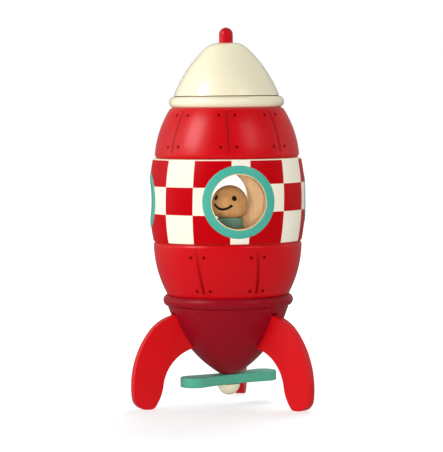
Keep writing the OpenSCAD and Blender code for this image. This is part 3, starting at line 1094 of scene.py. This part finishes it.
def tail():
    """Dark red tail: round cone, neck and bead, slotted for the fins, bored for the pin."""
    bead_drop, bead_r = 3.4, 3.9
    bead_c, bead_foot = (38.1, TAIL_Z1 - bead_drop), -79.5
    bead_top = math.degrees(math.asin(bead_drop / bead_r))
    tip_r, neck_r, neck_z, cone_sag = 6, 38.3, TAIL_Z1 - 9.5, 4.8
    c, r = bow_circle((tip_r, TAIL_Z0), (neck_r, neck_z), cone_sag)
    bore_z = TAIL_Z0 + 17.5
    outline = [(0, bore_z), (PIN_R, bore_z), (PIN_R, TAIL_Z0)]
    outline += arc(c, r, angle_at(c, r, TAIL_Z0), angle_at(c, r, neck_z), 60)
    outline += [(38.35, neck_z + 0.35), (38.55, neck_z + 0.55), (38.8, neck_z + 0.65)]
    outline += arc(bead_c, bead_r, bead_foot, bead_top, 24)
    outline += magnet_pocket(TAIL_Z1, up=True)
    obj = lathe("tail_wood", outline)
    half = FIN_T / 2 + SLOT_PLAY
    cutters = []
    for a in FIN_TURN.values():
        cutter = box_bar("slot", (FIN_ROOT_R, BELLY_R + 20), (-half, half),
                         (FIN_ROOT_Z, FIN_TOP_Z + SLOT_GAP))
        cutter.data.transform(turned_from_front(a))
        cutters.append(cutter)
    cut_away(obj, cutters)
    return obj


def fin(name, a):
    """A curved fin sawn from board, its edges sanded round."""
    outline = [(FIN_ROOT_R, FIN_TOP_Z)]
    for c, r, a0, a1, n in FIN_ARCS.values():
        outline += arc(c, r, a0, a1, n)
    outline += [(FIN_ROOT_R, FIN_ROOT_Z)]
    place = turned_from_front(a) @ UPRIGHT
    return slab(name + "_board", outline[::-1], FIN_T, FIN_ROUND_R, place)


finish_piece(tail(), "tail", "dark_red_paint", DARK_RED_PAINT, replaces=["tail_cone"])
for node, a in FIN_TURN.items():
    finish_piece(fin(node, a), "tail", "red_paint", FIN_PAINT, replaces=[node])


def propeller():
    """Two round-ended blades cut from one board, turning on the pin."""
    end_r, waist = BLADE_W / 2, BLADE_WAIST_W / 2
    end_x = BLADE_R - end_r
    flank_r = (end_x ** 2 + waist ** 2 - end_r ** 2) / (2 * (end_r - waist))
    flank_y = flank_r + waist
    b = math.degrees(math.atan2(flank_y, end_x))
    outline = arc((end_x, 0), end_r, b - 180, 180 - b, 40)
    outline += arc((0, flank_y), flank_r, -b, b - 180, 24)[1:-1]
    outline += arc((-end_x, 0), end_r, b, 360 - b, 40)
    outline += arc((0, -flank_y), flank_r, 180 - b, b, 24)[1:-1]
    lift = Matrix.Translation((0, 0, (BLADE_Z0 + BLADE_Z1) / 2 * MM))
    place = lift @ turned_from_front(BLADE_TURN)
    obj = slab("propeller_board", outline, BLADE_Z1 - BLADE_Z0, BLADE_ROUND_R, place)
    cut_away(obj, [round_bar("pin_hole", PIN_R + GAP, (BLADE_Z0 - 1, BLADE_Z1 + 1), 48)])
    return obj


def pin():
    """Half-ball head and shank."""
    head_z, e = PIN_Z0 + PIN_HEAD_R, 0.4
    outline = arc((0, head_z), PIN_HEAD_R, -90, -4, 24)
    outline += [(PIN_HEAD_R - 0.15, head_z - 0.15), (PIN_HEAD_R - e, head_z)]
    outline += [(PIN_R, head_z), (PIN_R, PIN_Z1 - e), (PIN_R - e, PIN_Z1), (0, PIN_Z1)]
    return lathe("propeller_pin_wood", outline, 96)


finish_piece(propeller(), "propeller", "teal_paint", BLADE_PAINT, replaces=["propeller"])
finish_piece(pin(), "tail", "cream_paint", paint("pin_paint", srgb(236, 226, 196)),
             replaces=["propeller_pin"])


# ---------------- magnets

for node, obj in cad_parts.items():
    if node.endswith("magnet"):
        obj.data.materials.clear()
        obj.data.materials.append(STEEL)


# ---------------- stage, light and camera

WHITE = (1, 1, 1, 1)
FLOOR_HALF = 6.0

# The floor's glow near and far, and the distances, in metres, between which it grows.
FLOOR_GLOW = (0.62, 1.0)
FLOOR_FADE = (0.15, 0.7)
FLOOR_GREYS = ((0.4, 0.4, 0.4, 1), (0.42, 0.42, 0.42, 1))


def stage():
    """A wide white floor that glows, more so away from the toy, to keep the shadows faint."""
    h = FLOOR_HALF
    mesh = bpy.data.meshes.new("studio_floor")
    mesh.from_pydata([(-h, -h, 0), (h, -h, 0), (h, h, 0), (-h, h, 0)], [], [(0, 1, 2, 3)])
    obj = new_object("studio_floor", mesh)
    n = Surface("studio_paper")
    n.set(Base_Color=n.mix(n.noise(n.place, **PAPER), *FLOOR_GREYS),
          Roughness=0.9, Specular_IOR_Level=0.1, Emission_Color=WHITE,
          Emission_Strength=n.ramp(n.from_axis(), *FLOOR_FADE, *FLOOR_GLOW))
    obj.data.materials.append(n.material)
    obj.visible_diffuse = False
    obj.visible_glossy = False


def around(a, distance, z):
    """A point at angle a from the front, towards +X, in metres."""
    s, c = sin_cos(a)
    return (distance * s, -distance * c, z)


def place_lamp(name, lamp, at, target):
    """Puts a lamp at a place, in metres, and points it at target."""
    obj = new_object(name, lamp)
    obj.location = at
    obj.rotation_euler = (Vector(target) - Vector(at)).to_track_quat("-Z", "Y").to_euler()
    return obj


TOY_MIDDLE = (0, 0, 0.13)


def area_light(name, turn, distance, height, size, power, for_gloss=False):
    """A soft oblong lamp aimed at the toy, which gives either shade or gloss, not both.

    turn is in degrees from the camera's direction; distance, height and size are in metres.
    """
    lamp = bpy.data.lights.new(name, "AREA")
    lamp.shape = "RECTANGLE"
    lamp.size, lamp.size_y = size
    lamp.energy = power
    obj = place_lamp(name, lamp, around(CAMERA_TURN + turn, distance, height), TOY_MIDDLE)
    obj.visible_diffuse = not for_gloss
    obj.visible_glossy = for_gloss


HOOD_R = 0.006


def hooded_lamp(name, at, target, cone, power, blend=0.4):
    """A lamp with a long hood and a beam of cone degrees, for the nose or a cabin window."""
    lamp = bpy.data.lights.new(name, "SPOT")
    lamp.energy = power
    lamp.spot_size = math.radians(cone)
    lamp.spot_blend = blend
    lamp.shadow_soft_size = HOOD_R
    place_lamp(name, lamp, at, target).visible_glossy = False


# How bright the surroundings are in front, behind and below, and their share in the gloss.
# They change between the given parts of the direction looked in, towards +Y and towards +Z.
FRONT_GLOW = 0.12
BACK_GLOW = 0.7
BELOW_GLOW = 0.42
GLOSS_GLOW = 0.45
FRONT_TO_BACK = (-0.3, 0.6)
BELOW_TO_LEVEL = (-0.25, 0.05)


def surroundings():
    """Surroundings that look white, and light the back and sides more than the front."""
    world = bpy.data.worlds.new("studio")
    bpy.context.scene.world = world
    world.use_nodes = True
    n = Nodes(world.node_tree)
    parts = n.add("ShaderNodeSeparateXYZ")
    n.link(n.add("ShaderNodeTexCoord").outputs["Generated"], parts.inputs[0])
    level = n.ramp(parts.outputs[1], *FRONT_TO_BACK, FRONT_GLOW, BACK_GLOW)
    glow = n.ramp(parts.outputs[2], *BELOW_TO_LEVEL, BELOW_GLOW, level)
    path = n.add("ShaderNodeLightPath")
    dim = n.ramp(path.outputs["Is Glossy Ray"], 0.0, 1.0, 1.0, GLOSS_GLOW)
    strength = n.math("MAXIMUM", n.math("MULTIPLY", glow, dim), path.outputs["Is Camera Ray"])
    background = n.tree.nodes["Background"]
    background.inputs["Color"].default_value = WHITE
    n.link(strength, background.inputs["Strength"])


def lights():
    """All that lights the toy.

    Lights at the left, right, front and both flanks shade it, and one high behind it casts its
    shadow forward. Two tall softboxes show in the gloss only. Hooded lamps brighten the left of
    the nose and reach into the cabin.
    """
    surroundings()
    area_light("left_light", -60, 1.4, 0.8, size=(0.8, 0.8), power=9.5)
    area_light("right_light", 60, 1.5, 0.8, size=(0.6, 0.6), power=2.4)
    area_light("front_light", -4, 1.7, 0.17, size=(0.3, 0.3), power=20)
    area_light("left_rim_light", -102, 1.4, 0.35, size=(0.7, 0.7), power=8)
    area_light("right_rim_light", 102, 1.4, 0.35, size=(0.7, 0.7), power=5)
    area_light("left_softbox", -60, 1.25, 0.9, size=(0.62, 0.9), power=9.5, for_gloss=True)
    area_light("right_softbox", 41, 1.35, 0.95, size=(0.55, 0.8), power=2.7, for_gloss=True)
    area_light("top_light", 165, 0.8, 1.15, size=(0.6, 0.6), power=12)
    hooded_lamp("nose_lamp", around(CAMERA_TURN - 72, 1.5, 0.45), (0, 0, (NOSE_Z0 + 24) * MM),
                cone=4.2, power=16, blend=1.0)
    for name, lamp_turn, window_turn, cone, power in (
            ("cabin_front_lamp", CAMERA_TURN, 0, 1.2, 14),
            ("cabin_left_lamp", -SIDE_WINDOW_TURN, -SIDE_WINDOW_TURN, 1.0, 8),
            ("cabin_right_lamp", SIDE_WINDOW_TURN, SIDE_WINDOW_TURN, 1.0, 8)):
        hooded_lamp(name, around(lamp_turn, 1.7, 0.21),
                    around(window_turn, BELLY_R * MM, WINDOW_Z * MM), cone, power)


# The camera, in metres and degrees; FOCAL_SHARE is its focal length in picture heights.
EYE_HEIGHT = 0.2003
EYE_DISTANCE = 1.4835
AIM_HEIGHT = 0.1158
AIM_SIDE = -0.0039
SENSOR = 36.0
FOCAL_SHARE = 5.0884956
ROLL = 0.5


def camera():
    """Eye level with the nose's foot, a long lens and a slight roll."""
    data = bpy.data.cameras.new("camera")
    data.sensor_width = SENSOR
    data.lens = FOCAL_SHARE * SENSOR
    data.clip_end = 50
    obj = new_object("camera", data)
    eye = Vector(around(CAMERA_TURN, EYE_DISTANCE, EYE_HEIGHT))
    side = Vector(around(CAMERA_TURN + 90, 1, 0))
    aim = side * AIM_SIDE + Vector((0, 0, AIM_HEIGHT))
    look = (aim - eye).to_track_quat("-Z", "Y").to_matrix().to_4x4()
    obj.matrix_world = (Matrix.Translation(eye) @ look
                        @ Matrix.Rotation(math.radians(-ROLL), 4, "Z"))
    bpy.context.scene.camera = obj


stage()
lights()
camera()
bpy.context.scene.view_settings.view_transform = "Standard"
